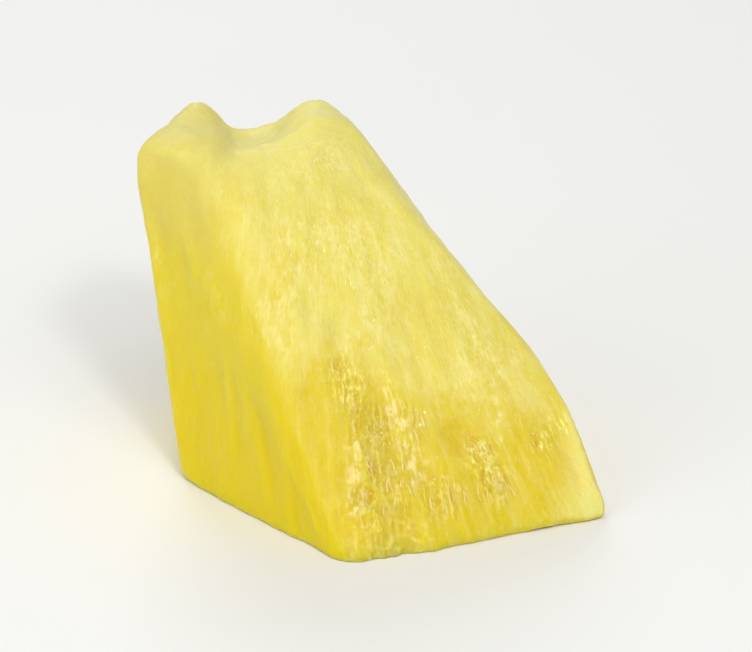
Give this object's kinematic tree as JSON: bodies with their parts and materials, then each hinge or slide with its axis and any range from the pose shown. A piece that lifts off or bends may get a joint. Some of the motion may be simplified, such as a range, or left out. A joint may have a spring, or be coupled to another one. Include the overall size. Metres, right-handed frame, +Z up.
{
  "type": "pineapple chunk",
  "caption": "Wedge-shaped chunk of fresh pineapple flesh with a notched narrow top, knife-cut sides, a torn fibrous patch low on the front and a flat trimmed foot.",
  "frame": {"origin": "bottom centre of the chunk's box, on the plane that it stands on", "axes": "+X to the right along the broad foot, +Y to the back, away from the front cut with the torn patch, +Z up from the rind side to the core side"},
  "size_m": [0.0312, 0.0258, 0.0243],
  "materials": {
    "fruit_flesh": "satin"
  },
  "bodies": {
    "root": {"pineapple_chunk": "fruit_flesh"}
  },
  "joints": []
}
